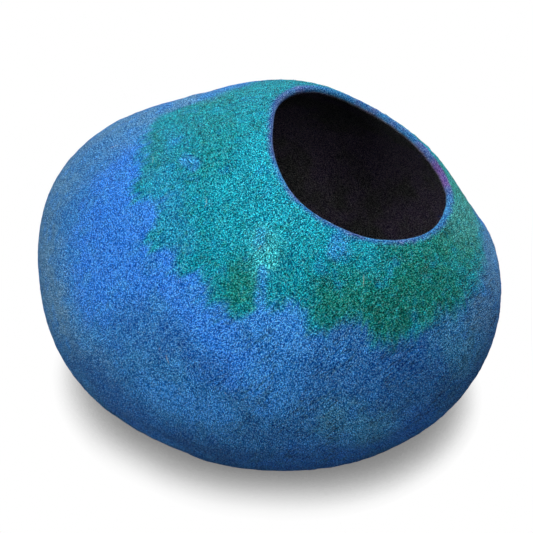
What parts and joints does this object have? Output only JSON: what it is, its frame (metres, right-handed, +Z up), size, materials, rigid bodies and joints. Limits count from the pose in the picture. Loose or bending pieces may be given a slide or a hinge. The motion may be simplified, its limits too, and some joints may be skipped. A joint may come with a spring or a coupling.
{
  "type": "felt cat cave",
  "caption": "Seamless wet-felted wool pet cave: a round hollow shell with a flat base and an oval opening at its upper front.",
  "frame": {"origin": "on the floor, under the middle of the shell's bounding box", "axes": "+Z up; -Y is the front, which the opening faces as it leans up; +X is the shell's right side as seen from the front"},
  "size_m": [0.4554, 0.5088, 0.3429],
  "materials": {
    "felt": "matte wet-felted wool, blue, marbled teal and green in a ragged ring around the opening, violet inside"
  },
  "bodies": {
    "root": {"felt_shell": "felt"}
  },
  "joints": []
}
